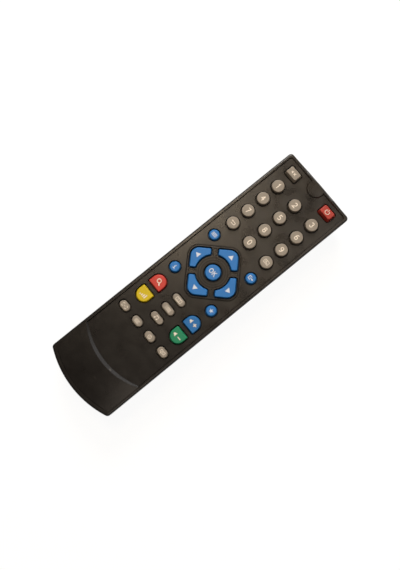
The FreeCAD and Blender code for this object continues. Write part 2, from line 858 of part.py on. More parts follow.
def transistor():
    x, y = transistor_x, nose_y - transistor_inset
    low = board_bottom - lead_stand - transistor_height
    body = cylinder(x, y, transistor_radius, low, low + transistor_height)
    body = body.cut(box(x - transistor_radius, x + transistor_radius, y + transistor_flat,
                        y + transistor_radius, low, low + transistor_height))
    leg_z = low + transistor_height - lead
    legs = [block(x + place * diode_lead_pitch / 2, y, lead, lead, leg_z, board_bottom)
            for place in (-1, 0, 1)]
    return joined([body] + legs)


def case_screws():
    group = []
    for x, y in screw_places():
        z = screw_head_top
        head = cylinder(x, y, screw_head_radius, z - screw_head_height, z)
        tip_z = z + screw_length - screw_tip
        shank = cylinder(x, y, screw_radius, z, tip_z)
        tip = Part.makeCone(screw_radius, screw_radius / 3, screw_tip, V(x, y, tip_z))
        screw = joined([head, shank, tip])
        arms = ((screw_slot_reach, screw_slot_width / 2), (screw_slot_width / 2, screw_slot_reach))
        low = z - screw_head_height
        for dx, dy in arms:
            screw = screw.cut(block(x, y, 2 * dx, 2 * dy, low, low + screw_slot_depth))
        group.append(screw)
    return Part.makeCompound(group)


def cell(x, low_y, button_side):
    """A cell whose button points along +Y where button_side is 1."""
    body = cylinder_y(x, cell_height, cell_radius, low_y, low_y + cell_length - cell_button)
    ends = [edge for edge in body.Edges if edge.Curve.TypeId == "Part::GeomCircle"]
    body = body.makeFillet(cell_edge, ends)
    top = low_y + cell_length
    body = joined([body, cylinder_y(x, cell_height, cell_button_radius, top - 2 * cell_button, top)])
    if button_side < 0:
        body.rotate(V(x, low_y + cell_length / 2, cell_height), UP, 180)
    return body


def contact_plate(x0, x1, y, tab_x=None):
    low = cell_height - contact_height / 2
    plate = box(x0, x1, y, y + contact_thickness, low, low + contact_height)
    if tab_x is None:
        return plate
    tab_y = y + contact_thickness / 2
    tab = block(tab_x, tab_y, tab_width, contact_thickness, cell_height, board_bottom)
    return joined([plate, tab])


def contact_dimple(x, y, side):
    return Part.makeCone(dimple_radius, dimple_radius / 2, dimple, V(x, y, cell_height), V(0, side, 0))


def spring_point(turns):
    """Point of the spring's centre line after some turns, and its direction there."""
    angle = 2 * math.pi * turns
    pitch = (spring_length - 2 * spring_wire) / spring_turns
    narrowing = pitch * math.tan(math.radians(spring_cone))
    radius = spring_base - narrowing * turns
    outward = V(math.cos(angle), 0, math.sin(angle))
    along = V(-math.sin(angle), 0, math.cos(angle)) * (2 * math.pi * radius)
    point = outward * radius + V(0, spring_wire + pitch * turns, 0)
    return point, unit(along + V(0, pitch, 0) - outward * narrowing)


def arc_from(start, direction, end):
    """Arc that leaves start in the given direction and ends at end."""
    chord = end - start
    forward = unit(chord)
    aside = direction - forward * direction.dot(forward)
    turn = direction.getAngle(forward)
    middle = start + chord / 2 + unit(aside) * (chord.Length / 2 * math.tan(turn / 2))
    return arc(start, middle, end)


def arc_pair(start, first, end, last):
    """Two arcs that join smoothly, from start in direction first to end in direction last."""
    chord = end - start
    spread = 2 * (1 - first.dot(last))
    along = chord.dot(first + last)
    reach = (math.sqrt(along ** 2 + spread * chord.dot(chord)) - along) / spread
    middle = (start + first * reach + end - last * reach) / 2
    return [arc_from(start, first, middle), arc_from(end, -last, middle)]


def spring(x, y, side):
    """Cone-shaped coil from a contact plate at y to the end of a cell."""
    quarters = round(4 * spring_turns)
    path = []
    for quarter in range(quarters):
        start, first = spring_point(quarter * spring_turns / quarters)
        end, last = spring_point((quarter + 1) * spring_turns / quarters)
        path += arc_pair(start, first, end, last)
    start, first = spring_point(0)
    ring = Part.Wire(Part.makeCircle(spring_wire, start, first))
    coil = Part.Wire(Part.__sortEdges__(path)).makePipeShell([ring], True, False)
    if side < 0:
        coil.rotate(V(0, 0, 0), UP, 180)
    coil.translate(V(x, y, cell_height))
    return coil


def battery_contacts():
    """The link at the tail and the two contacts at the board, each with what touches a cell."""
    reach = contact_width / 2
    back = bay_back_y
    front = bay_front_y - contact_thickness
    link = contact_plate(-cell_x - reach, cell_x + reach, back)
    link = joined([link, contact_dimple(cell_x, back + contact_thickness, 1)])
    positive = contact_plate(-cell_x - reach, -cell_x + reach, front, -cell_x)
    positive = joined([positive, contact_dimple(-cell_x, front, -1)])
    negative = contact_plate(cell_x - reach, cell_x + reach, front, cell_x)
    return {
        "battery_link": Part.makeCompound([link, spring(-cell_x, back + contact_thickness, 1)]),
        "positive_contact": positive,
        "negative_contact": Part.makeCompound([negative, spring(cell_x, front, -1)]),
    }


def build():
    keys = keypad()
    nodes = {
        "top_cover": top_cover(keys),
        "bottom_cover": bottom_cover(),
        "battery_door": battery_door(),
        "circuit_board": circuit_board(),
        "key_mat": key_mat(keys),
        "ir_diode": infrared_diode(),
        "controller_chip": controller_chip(),
        "resonator": resonator(),
        "capacitor": capacitor(),
        "resistors": resistors(),
        "transistor": transistor(),
        "case_screws": case_screws(),
        "left_cell": cell(-cell_x, bay_front_y - contact_thickness - dimple - cell_length, 1),
        "right_cell": cell(cell_x, bay_back_y + contact_thickness + dimple, -1),
    }
    nodes.update(battery_contacts())
    for name, (outline, stem, height, top) in keys.items():
        nodes[name] = key_solid(outline, stem, height, top)
    return nodes


def main():
    os.makedirs("parts", exist_ok=True)
    for name, shape in build().items():
        shape.exportStep(f"parts/{name}.step")
        solids = len(shape.Solids)
        print(f"{name}: {solids} solid(s), {shape.Volume:.1f} mm3, valid {shape.isValid()}")


main()
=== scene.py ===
# Satellite receiver remote control on a pale table, seen from above.
# Lengths are in metres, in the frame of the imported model: +Y to the nose, +Z up, table at z = 0.
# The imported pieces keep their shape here. This script gives them their materials, prints the
# legends on the keys, and adds the table, the lamps and the camera.

import bpy
import bmesh
import json
import math
from mathutils import Matrix, Vector

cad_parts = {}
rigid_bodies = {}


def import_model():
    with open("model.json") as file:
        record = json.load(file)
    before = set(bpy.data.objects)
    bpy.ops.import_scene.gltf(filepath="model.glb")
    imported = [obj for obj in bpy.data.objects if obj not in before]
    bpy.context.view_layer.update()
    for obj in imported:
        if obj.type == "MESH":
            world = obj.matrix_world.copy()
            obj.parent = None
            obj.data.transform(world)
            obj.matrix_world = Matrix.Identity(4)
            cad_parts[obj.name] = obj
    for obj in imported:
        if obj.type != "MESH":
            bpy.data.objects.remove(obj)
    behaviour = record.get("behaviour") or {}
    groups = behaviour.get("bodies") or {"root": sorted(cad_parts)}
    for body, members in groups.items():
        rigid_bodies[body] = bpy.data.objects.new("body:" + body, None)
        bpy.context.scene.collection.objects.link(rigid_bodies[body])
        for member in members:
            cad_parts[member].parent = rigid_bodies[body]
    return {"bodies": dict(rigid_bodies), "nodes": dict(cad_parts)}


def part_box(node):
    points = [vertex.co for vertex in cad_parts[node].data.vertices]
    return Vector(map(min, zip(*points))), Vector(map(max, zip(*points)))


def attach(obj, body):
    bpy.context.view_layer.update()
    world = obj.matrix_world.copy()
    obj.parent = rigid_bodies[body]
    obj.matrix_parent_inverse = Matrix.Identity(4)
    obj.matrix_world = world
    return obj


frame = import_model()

nodes = frame["nodes"]
for thing in set(bpy.data.objects) - set(nodes.values()) - set(frame["bodies"].values()):
    bpy.data.objects.remove(thing)
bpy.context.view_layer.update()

mm = 0.001

# Camera, fitted to the outline and the keys of the photograph
camera_place = Vector((26.99, -15.26, 305.17)) * mm
camera_right = Vector((0.63201, 0.77482, -0.01487))
camera_down = Vector((0.76958, -0.62976, -0.10561))
camera_forward = Vector((-0.09119, 0.05530, -0.99430))
camera_lens = 34.74          # millimetres, on a frame as wide as the next line says
camera_frame = 36.0
camera_near = 0.01           # nothing nearer than this is drawn

# Light
world_level = 0.09
world_tint = (1.0, 0.95, 0.88)
lamps = (
    # name, place, width, height, power in watts, colour
    ("window_lamp", (-0.66, 0.54, 0.62), 0.45, 0.45, 7.9, (1.0, 0.98, 0.95)),
    ("ceiling_lamp", (-0.30, 0.14, 0.80), 0.25, 0.25, 2.1, (1.0, 0.82, 0.60)),
    ("far_lamp", (0.22, 0.28, 0.78), 0.35, 0.35, 0.9, (1.0, 0.88, 0.74)),
    ("room_lamp", (0.34, -0.22, 0.85), 0.40, 0.40, 0.95, (1.0, 0.86, 0.72)),
    ("wall_lamp", (-0.10, 0.90, 0.10), 2.60, 0.30, 3.5, (1.0, 0.98, 0.96)),
)

# Table
table_reach = 3.0            # from its middle to its sides
table_gap = 0.02 * mm        # under the remote
table_glow = 1.08            # a little over white, so that it stays white in the picture
table_glow_share = 0.85      # the rest is paper, which takes the remote's shadow
paper_colour = (0.86, 0.86, 0.85)

# Legends
ink_thickness = 0.04 * mm    # half of it stands over the key
stroke_rise = 0.0002         # keeps strokes that cross off each other's level
digit_half = 1.58            # half the height of a digit, in millimetres
digit_width = 0.52           # of a digit's strokes, in millimetres
word_width = 0.46            # of the middle key's strokes, in millimetres
line_width = 0.36            # of a pictogram's strokes, in its own millimetres
arrow_start = 11.5           # of a key's arrow, in millimetres from the middle key
arrow_end = 13.9
arrow_half_width = 1.5
arc_points = 24              # of a full turn

# Arrow on the battery door: outline in millimetres, and its place
door_arrow_outline = ((-2.6, 1.6), (0, -2.2), (2.6, 1.6), (0, 0.4))
door_arrow_level = 0.10 * mm
door_arrow_thickness = 0.10 * mm
door_arrow_back = 22 * mm    # from the door's edge nearest the nose

# Casing: creases narrower than crease_reach get painted shade, and are duller and less glossy
casing_roughness = 0.30
crease_reach = 0.4 * mm
crease_openness = (0.20, 0.90)           # of a full crease, and of a flat place
crease_shade = 0.3           # of the casing's colour
crease_dulling = 0.35        # added to the roughness
crease_gloss = 0.15
open_gloss = 0.50

# Scuffs on the casing, and a painted glint: middle, half width and half length in millimetres,
# strength
scuffs_and_glint = (
    # painted glint on the crest of the grip, where a highlight falls
    (5.6, -62.8, 0.9, 0.45, 0.5),
    (3.8, -71.2, 1.2, 0.5, 0.10),
    (4.6, -52.5, 0.4, 2.2, 0.06),
    (-9.0, -66.0, 2.5, 0.3, 0.05),
    (12.0, -58.0, 3.0, 1.8, 0.03),
    (-5.0, 52.0, 3.5, 3.0, 0.02),
    (6.8, 37.0, 2.5, 4.0, 0.02),
)
scuff_and_glint_core = 0.2             # share of a scuff's or the glint's size where it has its full strength

# Raised pad under the navigation keys: a square on its corner, with grooves round the middle key
pad_half = 14.14 * mm
pad_corner = 5.8 * mm
groove_radii = (6.5 * mm, 7.8 * mm)
bead_inside = -1.1 * mm      # from the pad's edge
shade_edge = 0.1 * mm        # from the pad's edge

# Painted shade on the pad: round the middle key, and along lines
shade_radii = (4.7 * mm, 6.3 * mm)       # full inside the first, none outside the second
line_reaches = (0.18 * mm, 0.45 * mm)    # full this near to a line, none this far from it
groove_clear = 0.45          # what a line leaves clear of painted shade
edge_clear = 0.25
bead_clear = 0.65

# Marks, the painted glint, and the dust and painted sheen stay on the top cover: none under
# top_level, all of their strength over full_level
top_level = 15 * mm
full_level = 18.5 * mm

# Haze of dust, with painted sheen that lightens the casing towards the nose: it starts over the
# small keys and is full at the number keys
dust_and_sheen_start = -35 * mm
dust_and_sheen_full = 25 * mm
dust_and_sheen_share = 0.09            # where it is thickest
cloud_sheen = 0.09           # what its clouds add to the roughness, or take from it

# Single parts of the board: where their bodies end and their bare leads begin
chip_lead = 1.09 * mm        # from the end of a lead to the chip's body
hanging_lead = 1.21 * mm     # under the board, of the transistor and the resonator
capacitor_lead = 1.42 * mm   # its leads and base, from the end nearest the tail
capacitor_cap = 0.1 * mm     # its bare top, at the other end
capacitor_stripe = (0.7 * mm, 1.7 * mm)  # from its left side
resistor_half = 1.81 * mm    # of a resistor's body
diode_body = 8.61 * mm       # from the tip
resistor_bands = (
    # from, to, in millimetres from the middle, colour
    (-1.25, -0.95, (0.25, 0.08, 0.03)),
    (-0.55, -0.25, (0.02, 0.02, 0.02)),
    (0.15, 0.45, (0.60, 0.10, 0.02)),
    (1.0, 1.3, (0.55, 0.38, 0.10)),
)

# Cells: places as shares of the length, from the flat end to the button
cell_bands = ((0.66, 0.94), (0.05, 0.06))
cell_plus = 0.86
cell_minus = 0.14
cell_ends = (0.012, 0.975)   # bare metal outside these
cell_sign_half = 1.1 * mm
cell_sign_half_width = 0.28 * mm

# Colours
casing_colour = (0.0068, 0.0050, 0.0040)
scuff_and_glint_colour = (0.16, 0.14, 0.12)
dust_and_sheen_colour = (0.185, 0.138, 0.092)
grey_colour = (0.280, 0.242, 0.199)
blue_colour = (0.0145, 0.170, 0.505)
deep_blue_colour = (0.009, 0.142, 0.408)
red_colour = (0.550, 0.044, 0.032)
deep_red_colour = (0.400, 0.036, 0.024)
yellow_colour = (0.630, 0.465, 0.005)
green_colour = (0.007, 0.226, 0.105)
cream_ink = (0.880, 0.785, 0.670)
white_ink = (0.715, 0.765, 0.870)
mat_colour = (0.16, 0.15, 0.15)
metal_colour = (0.62, 0.61, 0.58)
cell_colour = (0.012, 0.045, 0.130)
silver_colour = (0.62, 0.60, 0.55)
stripe_colour = (0.55, 0.56, 0.60)
mask_colours = (0.014, 0.085, 0.030), (0.020, 0.110, 0.040)
track_colour = (0.035, 0.170, 0.060)


def node(tree, kind, inputs=(), **settings):
    """Adds a shader node. inputs pairs a socket's name or number with a value or another socket."""
    made = tree.nodes.new("ShaderNode" + kind)
    for key, value in settings.items():
        setattr(made, key, value)
    for key, value in inputs:
        if isinstance(value, bpy.types.NodeSocket):
            tree.links.new(value, made.inputs[key])
        else:
            made.inputs[key].default_value = value
    return made


def calculated(tree, operation, first, second=0.0):
    return node(tree, "Math", [(0, first), (1, second)], operation=operation).outputs[0]


def ramp(tree, value, low, high, start=0.0, end=1.0, **settings):
    """Number that runs from start to end as value runs from low to high."""
    inputs = [("Value", value), ("From Min", low), ("From Max", high),
              ("To Min", start), ("To Max", end)]
    return node(tree, "MapRange", inputs, **settings).outputs["Result"]


def between(tree, spots, low, high):
    """Number that runs from low to high as spots runs through the middle half of 0 to 1."""
    return ramp(tree, spots, 0.25, 0.75, low, high)


def blend(tree, factor, first, second):
    """Colour that runs from first to second as factor runs from 0 to 1."""
    def colour(value):
        return value if isinstance(value, bpy.types.NodeSocket) else (*value, 1.0)
    inputs = [(0, factor), (6, colour(first)), (7, colour(second))]
    return node(tree, "Mix", inputs, data_type="RGBA").outputs[2]


def shade(colour, factor):
    return tuple(channel * factor for channel in colour)


def place_of(tree):
    return node(tree, "TexCoord").outputs["Object"]


def along(tree, axis):
    """Coordinate of the place along axis 0, 1 or 2, in metres."""
    return node(tree, "SeparateXYZ", [(0, place_of(tree))]).outputs[axis]


def distance_from(tree, axis, middle):
    return calculated(tree, "ABSOLUTE", calculated(tree, "SUBTRACT", along(tree, axis), middle))


def hypotenuse(tree, first, second):
    squares = [calculated(tree, "MULTIPLY", side, side) for side in (first, second)]
    return calculated(tree, "SQRT", calculated(tree, "ADD", *squares))


def noise(tree, size, detail=2.0, roughness=0.5, stretch=None):
    """Noise between 0 and 1 whose largest spots are about size metres across."""
    place = place_of(tree)
    if stretch:
        place = node(tree, "Mapping", [("Vector", place), ("Scale", stretch)]).outputs["Vector"]
    inputs = [("Vector", place), ("Scale", 1 / size), ("Detail", detail), ("Roughness", roughness)]
    return node(tree, "TexNoise", inputs).outputs["Fac"]


def openness(tree, reach):
    """1 on open surfaces, less in corners and gaps narrower than reach."""
    return node(tree, "AmbientOcclusion", [("Distance", reach)], samples=6).outputs["AO"]


def bump(tree, shader, height, distance):
    normal = node(tree, "Bump", [("Height", height), ("Distance", distance), ("Strength", 1.0)])
    tree.links.new(normal.outputs["Normal"], shader.inputs["Normal"])


def principled(name, **constants):
    """New material with its tree and shader. constants are sockets, with _ for their spaces."""
    finish = bpy.data.materials.new(name)
    finish.use_nodes = True
    shader = shader_of(finish)
    for key, value in constants.items():
        shader.inputs[key.replace("_", " ").title().replace("Ior", "IOR")].default_value = value
    return finish, finish.node_tree, shader


def shader_of(finish):
    return finish.node_tree.nodes["Principled BSDF"]


def source_of(finish, socket):
    """What feeds a socket of the material's shader."""
    return shader_of(finish).inputs[socket].links[0].from_socket


def painted(finish, where, colour):
    """Lays colour over the material where the factor is 1."""
    tree = finish.node_tree
    coat = blend(tree, where, source_of(finish, "Base Color"), colour)
    tree.links.new(coat, shader_of(finish).inputs["Base Color"])


def moulded(name, colour, roughness=0.42, mottle=0.10, grain=0.35 * mm, depth=0.003 * mm,
            crevice_shade=0.45, crevice_shade_reach=1.2 * mm, crevice_shade_from=0.45, **constants):
    """Moulded plastic: slight mottling, fine grain, and painted shade that darkens it in corners
    and gaps.
    """
    finish, tree, shader = principled(name, **constants)
    patches = between(tree, noise(tree, 9 * mm, detail=4.0, roughness=0.6), 0, 1)
    body = blend(tree, patches, shade(colour, 1 - mottle), shade(colour, 1 + mottle))
    # painted shade: darker where ambient occlusion finds corners and gaps
    opened = ramp(tree, openness(tree, crevice_shade_reach), crevice_shade_from, 0.95)
    coat = blend(tree, opened, shade(colour, crevice_shade), body)
    tree.links.new(coat, shader.inputs["Base Color"])
    smudges = noise(tree, 5 * mm, detail=3.0, roughness=0.55)
    sheen = between(tree, smudges, roughness - 0.04, roughness + 0.04)
    tree.links.new(sheen, shader.inputs["Roughness"])
    bump(tree, shader, noise(tree, grain), depth)
    return finish


def key_top(key):
    """Middle of a key's upper face."""
    low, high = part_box(key)
    return Vector(((low.x + high.x) / 2, (low.y + high.y) / 2, high.z))


def spot(tree, x, y, half_width, half_length):
    """1 in the middle of an upright spot seen from above, 0 outside it. Millimetres."""
    across = calculated(tree, "DIVIDE", distance_from(tree, 0, x * mm), half_width * mm)
    ahead = calculated(tree, "DIVIDE", distance_from(tree, 1, y * mm), half_length * mm)
    return ramp(tree, calculated(tree, "MAXIMUM", across, ahead), 1.0, scuff_and_glint_core)


def clear_of_painted_shade(tree):
    """1 on the casing, less where painted shade goes round the middle key and along the lines of
    the navigation pad.
    """
    middle = key_top("ok_key")
    across = calculated(tree, "SUBTRACT", along(tree, 0), middle.x)
    ahead = calculated(tree, "SUBTRACT", along(tree, 1), middle.y)
    reach = hypotenuse(tree, across, ahead)
    sides = []
    for operation in ("ADD", "SUBTRACT"):
        slanted = calculated(tree, "ABSOLUTE", calculated(tree, operation, across, ahead))
        beyond = calculated(tree, "SUBTRACT", calculated(tree, "DIVIDE", slanted, math.sqrt(2)),
                            pad_half - pad_corner)
        sides.append(calculated(tree, "MAXIMUM", beyond, 0.0))
    edge = calculated(tree, "SUBTRACT", hypotenuse(tree, *sides), pad_corner)

    lines = [(reach, radius, groove_clear) for radius in groove_radii]
    lines += [(edge, shade_edge, edge_clear), (edge, bead_inside, bead_clear)]
    clear = ramp(tree, reach, *shade_radii)
    for distance, place, least in lines:
        off = calculated(tree, "ABSOLUTE", calculated(tree, "SUBTRACT", distance, place))
        clear = calculated(tree, "MULTIPLY", clear, ramp(tree, off, *line_reaches, least))
    below = calculated(tree, "LESS_THAN", along(tree, 2), top_level)
    return calculated(tree, "MAXIMUM", clear, below)


def worn_casing():
    """Casing plastic with dull creases in painted shade, painted shade on the lines of the pad, a
    haze of dust and painted sheen towards the nose, a few scuffs, and a painted glint.
    """
    finish = moulded("casing_plastic", casing_colour, casing_roughness, mottle=0.12,
                     crevice_shade=0.30, crevice_shade_from=0.25)
    tree = finish.node_tree
    shader = shader_of(finish)
    flat = ramp(tree, openness(tree, crease_reach), *crease_openness)
    flat = calculated(tree, "MULTIPLY", flat, clear_of_painted_shade(tree))
    ahead = ramp(tree, along(tree, 1), dust_and_sheen_start, dust_and_sheen_full, interpolation_type="SMOOTHSTEP")
    above = ramp(tree, along(tree, 2), top_level, full_level)

    clouds = between(tree, noise(tree, 9 * mm), -cloud_sheen, cloud_sheen)
    clouds = calculated(tree, "MULTIPLY", clouds, ahead)
    broad = between(tree, noise(tree, 16 * mm, detail=3.0, roughness=0.55), -0.01, 0.03)
    creased = calculated(tree, "SUBTRACT", 1.0, flat)
    rough = source_of(finish, "Roughness")
    for more in (clouds, broad, calculated(tree, "MULTIPLY", creased, crease_dulling)):
        rough = calculated(tree, "ADD", rough, more)
    tree.links.new(rough, shader.inputs["Roughness"])
    gloss = calculated(tree, "MULTIPLY", flat, open_gloss - crease_gloss)
    gloss = calculated(tree, "ADD", gloss, crease_gloss)
    tree.links.new(gloss, shader.inputs["Specular IOR Level"])

    # painted shade in the creases and along the lines of the pad
    painted(finish, creased, shade(casing_colour, crease_shade))
    # dust, and painted sheen that lightens the casing towards the nose
    dust_and_sheen = between(tree, noise(tree, 11 * mm, detail=5.0, roughness=0.62), 0.0, dust_and_sheen_share)
    dust_and_sheen = calculated(tree, "MULTIPLY", calculated(tree, "MULTIPLY", dust_and_sheen, ahead), above)
    painted(finish, dust_and_sheen, dust_and_sheen_colour)
    flecks = between(tree, noise(tree, 0.5 * mm, detail=3.0, roughness=0.6), 0.3, 1.0)
    flecks = calculated(tree, "MULTIPLY", flecks, above)
    # painted scuffs, and the painted glint of the first mark
    for x, y, half_width, half_length, strength in scuffs_and_glint:
        mark = calculated(tree, "MULTIPLY", spot(tree, x, y, half_width, half_length), flecks)
        painted(finish, calculated(tree, "MULTIPLY", mark, strength), scuff_and_glint_colour)
    return finish


def metal(name, colour, roughness=0.3):
    """Plated metal with fine brush marks and faint stains."""
    finish, tree, shader = principled(name, metallic=1.0)
    stains = between(tree, noise(tree, 2 * mm, detail=4.0, roughness=0.6), 0, 1)
    tree.links.new(blend(tree, stains, shade(colour, 0.82), colour), shader.inputs["Base Color"])
    marks = noise(tree, 0.4 * mm, stretch=(1.0, 0.1, 1.0))
    dull = between(tree, marks, roughness - 0.08, roughness + 0.12)
    tree.links.new(dull, shader.inputs["Roughness"])
    bump(tree, shader, marks, 0.004 * mm)
    return finish


def with_metal(finish, is_metal, roughness=0.28):
    """Turns a plastic into bare plated metal where is_metal is 1."""
    tree = finish.node_tree
    shader = shader_of(finish)
    stains = between(tree, noise(tree, 1.5 * mm, detail=4.0, roughness=0.6), 0.0, 1.0)
    painted(finish, is_metal, blend(tree, stains, shade(metal_colour, 0.8), metal_colour))
    tree.links.new(is_metal, shader.inputs["Metallic"])
    shiny = calculated(tree, "MULTIPLY", is_metal, roughness)
    rest = calculated(tree, "MULTIPLY", source_of(finish, "Roughness"),
                      calculated(tree, "SUBTRACT", 1.0, is_metal))
    tree.links.new(calculated(tree, "ADD", shiny, rest), shader.inputs["Roughness"])
    return finish


def with_band(finish, place, low, high, colour):
    """Paints a ring of colour where place is between low and high."""
    tree = finish.node_tree
    inside = calculated(tree, "MULTIPLY", calculated(tree, "GREATER_THAN", place, low),
                        calculated(tree, "LESS_THAN", place, high))
    painted(finish, inside, colour)


def with_mark(finish, x, y, half_width, half_length, colour):
    """Prints an upright bar, seen from below."""
    tree = finish.node_tree
    across = calculated(tree, "LESS_THAN", distance_from(tree, 0, x), half_width)
    ahead = calculated(tree, "LESS_THAN", distance_from(tree, 1, y), half_length)
    painted(finish, calculated(tree, "MULTIPLY", across, ahead), colour)


def cell_finish(name):
    """A cell's sleeve with silver bands, a plus and a minus sign, and bare ends."""
    low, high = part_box(name)
    forward = high.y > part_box("left_cell")[1].y or high.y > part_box("right_cell")[1].y
    button, base = (high.y, low.y) if forward else (low.y, high.y)
    finish = moulded(name + "_sleeve", cell_colour, 0.28, mottle=0.05, grain=0.6 * mm,
                     depth=0.002 * mm)
    tree = finish.node_tree
    share = ramp(tree, along(tree, 1), base, button)
    for start, end in cell_bands:
        with_band(finish, share, start, end, silver_colour)
    middle = (low.x + high.x) / 2
    plus_y = base + cell_plus * (button - base)
    minus_y = base + cell_minus * (button - base)
    bar = (cell_sign_half, cell_sign_half_width)
    with_mark(finish, middle, plus_y, *bar, cell_colour)
    with_mark(finish, middle, plus_y, *reversed(bar), cell_colour)
    with_mark(finish, middle, minus_y, *bar, silver_colour)
    ends = calculated(tree, "ADD", calculated(tree, "GREATER_THAN", share, cell_ends[1]),
                      calculated(tree, "LESS_THAN", share, cell_ends[0]))
    return with_metal(finish, ends)


def chip_finish():
    finish = moulded("chip_epoxy", (0.015, 0.015, 0.016), 0.50)
    low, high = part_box("controller_chip")
    off = distance_from(finish.node_tree, 0, (low.x + high.x) / 2)
    half = (high.x - low.x) / 2 - chip_lead
    return with_metal(finish, calculated(finish.node_tree, "GREATER_THAN", off, half))


def hanging_finish(name, colour, roughness, mottle):
    """Body under the board, with bare leads between it and the board."""
    finish = moulded(name, colour, roughness, mottle)
    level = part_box("circuit_board")[0].z - hanging_lead
    height = along(finish.node_tree, 2)
    return with_metal(finish, calculated(finish.node_tree, "GREATER_THAN", height, level))


def capacitor_finish():
    finish = moulded("capacitor_sleeve", (0.012, 0.016, 0.050), 0.28, mottle=0.06)
    tree = finish.node_tree
    low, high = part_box("capacitor")
    stripe = [low.x + reach for reach in capacitor_stripe]
    with_band(finish, along(tree, 0), *stripe, stripe_colour)
    length = along(tree, 1)
    cap = calculated(tree, "GREATER_THAN", length, high.y - capacitor_cap)
    leads = calculated(tree, "LESS_THAN", length, low.y + capacitor_lead)
    return with_metal(finish, calculated(tree, "ADD", cap, leads))


def resistor_finish():
    finish = moulded("resistor_coat", (0.62, 0.50, 0.33), 0.30, mottle=0.05)
    tree = finish.node_tree
    low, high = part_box("resistors")
    middle = (low.x + high.x) / 2
    shift = calculated(tree, "SUBTRACT", along(tree, 0), middle)
    for start, end, colour in resistor_bands:
        with_band(finish, shift, start * mm, end * mm, colour)
    off = distance_from(tree, 0, middle)
    return with_metal(finish, calculated(tree, "GREATER_THAN", off, resistor_half))


def diode_finish():
    finish = moulded("diode_epoxy", (0.020, 0.010, 0.030), 0.10, mottle=0.05, depth=0.001 * mm)
    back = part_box("ir_diode")[1].y - diode_body
    length = along(finish.node_tree, 1)
    return with_metal(finish, calculated(finish.node_tree, "LESS_THAN", length, back))


def board_finish():
    """Green solder mask with copper tracks that run under it."""
    finish, tree, shader = principled("board_laminate")
    inputs = [("Vector", place_of(tree)), ("Scale", 1 / (9 * mm)), ("Randomness", 1.0)]
    cells = node(tree, "TexVoronoi", inputs, feature="DISTANCE_TO_EDGE", distance="CHEBYCHEV")
    track = calculated(tree, "LESS_THAN", cells.outputs["Distance"], 0.10)
    patches = between(tree, noise(tree, 6 * mm, detail=4.0, roughness=0.6), 0.0, 1.0)
    coat = blend(tree, track, blend(tree, patches, *mask_colours), track_colour)
    tree.links.new(coat, shader.inputs["Base Color"])
    sheen = between(tree, noise(tree, 3 * mm, detail=4.0), 0.24, 0.36)
    tree.links.new(sheen, shader.inputs["Roughness"])
    bump(tree, shader, track, 0.03 * mm)
    return finish


def key_plastic(name, colour, crevice_shade=0.25):
    """Satin plastic of a key, with flanks darkened by painted shade."""
    return moulded(name, colour, 0.48, mottle=0.05, crevice_shade=crevice_shade, crevice_shade_reach=1.6 * mm,
                   crevice_shade_from=0.55, specular_ior_level=0.40)


def finish_nodes():
    """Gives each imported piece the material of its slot, or one of its own."""
    finishes = {
        "casing": worn_casing(),
        "grey_keys": key_plastic("grey_key_plastic", grey_colour),
        "blue_keys": key_plastic("blue_key_plastic", blue_colour),
        "red_keys": key_plastic("red_key_plastic", red_colour),
        "yellow_key": key_plastic("yellow_key_plastic", yellow_colour),
        "green_key": key_plastic("green_key_plastic", green_colour),
        "mat": moulded("mat_rubber", mat_colour, 0.65, mottle=0.06),
        "board": board_finish(),
        "steel": metal("plated_steel", metal_colour),
    }
    own = {
        "controller_chip": chip_finish(),
        "transistor": hanging_finish("transistor_epoxy", (0.012, 0.012, 0.012), 0.45, 0.10),
        "resonator": hanging_finish("resonator_dip", (0.72, 0.28, 0.03), 0.25, 0.06),
        "capacitor": capacitor_finish(),
        "resistors": resistor_finish(),
        "ir_diode": diode_finish(),
        "power_key": key_plastic("power_key_plastic", deep_red_colour, crevice_shade=1.0),
        "volume_up_key": key_plastic("volume_key_plastic", deep_blue_colour),
        "left_cell": cell_finish("left_cell"),
        "right_cell": cell_finish("right_cell"),
    }
    for name, piece in nodes.items():
        slot = piece.data.materials[0].name
        piece.data.materials[0] = own[name] if name in own else finishes[slot]


def ink(name, colour):
    """Printed ink, a little worn."""
    finish, tree, shader = principled(name)
    wear = noise(tree, 0.5 * mm, detail=4.0, roughness=0.7)
    tint = blend(tree, between(tree, wear, 0, 1), shade(colour, 0.86), colour)
    tree.links.new(tint, shader.inputs["Base Color"])
    tree.links.new(between(tree, wear, 0.42, 0.58), shader.inputs["Roughness"])
    return finish


def printed(name, key, mesh, finish, place=None):
    """Puts a flat mesh on the top of a key as ink."""
    piece = bpy.data.objects.new(name, mesh)
    bpy.context.scene.collection.objects.link(piece)
    mesh.materials.append(finish)
    body = piece.modifiers.new("thickness", "SOLIDIFY")
    body.thickness = ink_thickness
    body.offset = 0.0
    piece.location = place or key_top(key)
    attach(piece, key + "_body")


def ribbon(work, points, width=line_width, closed=False):
    """Adds a flat line of the given width through points, with mitred corners."""
    count = len(points)
    path = [Vector(point) for point in points]
    rows = []
    level = stroke_rise * len(work.verts)
    for i in range(count):
        before = path[i - 1] if i or closed else None
        after = path[(i + 1) % count] if i < count - 1 or closed else None
        ahead = (after - path[i]).normalized() if after else (path[i] - before).normalized()
        back = (path[i] - before).normalized() if before else ahead
        across = (ahead + back).orthogonal().normalized()
        reach = width / 2 / max(0.4, math.cos(ahead.angle(back) / 2))
        sides = (path[i] + reach * across, path[i] - reach * across)
        rows.append([work.verts.new((*side, level)) for side in sides])
    last = count if closed else count - 1
    for i in range(last):
        a, b = rows[i], rows[(i + 1) % count]
        work.faces.new((a[0], a[1], b[1], b[0]))


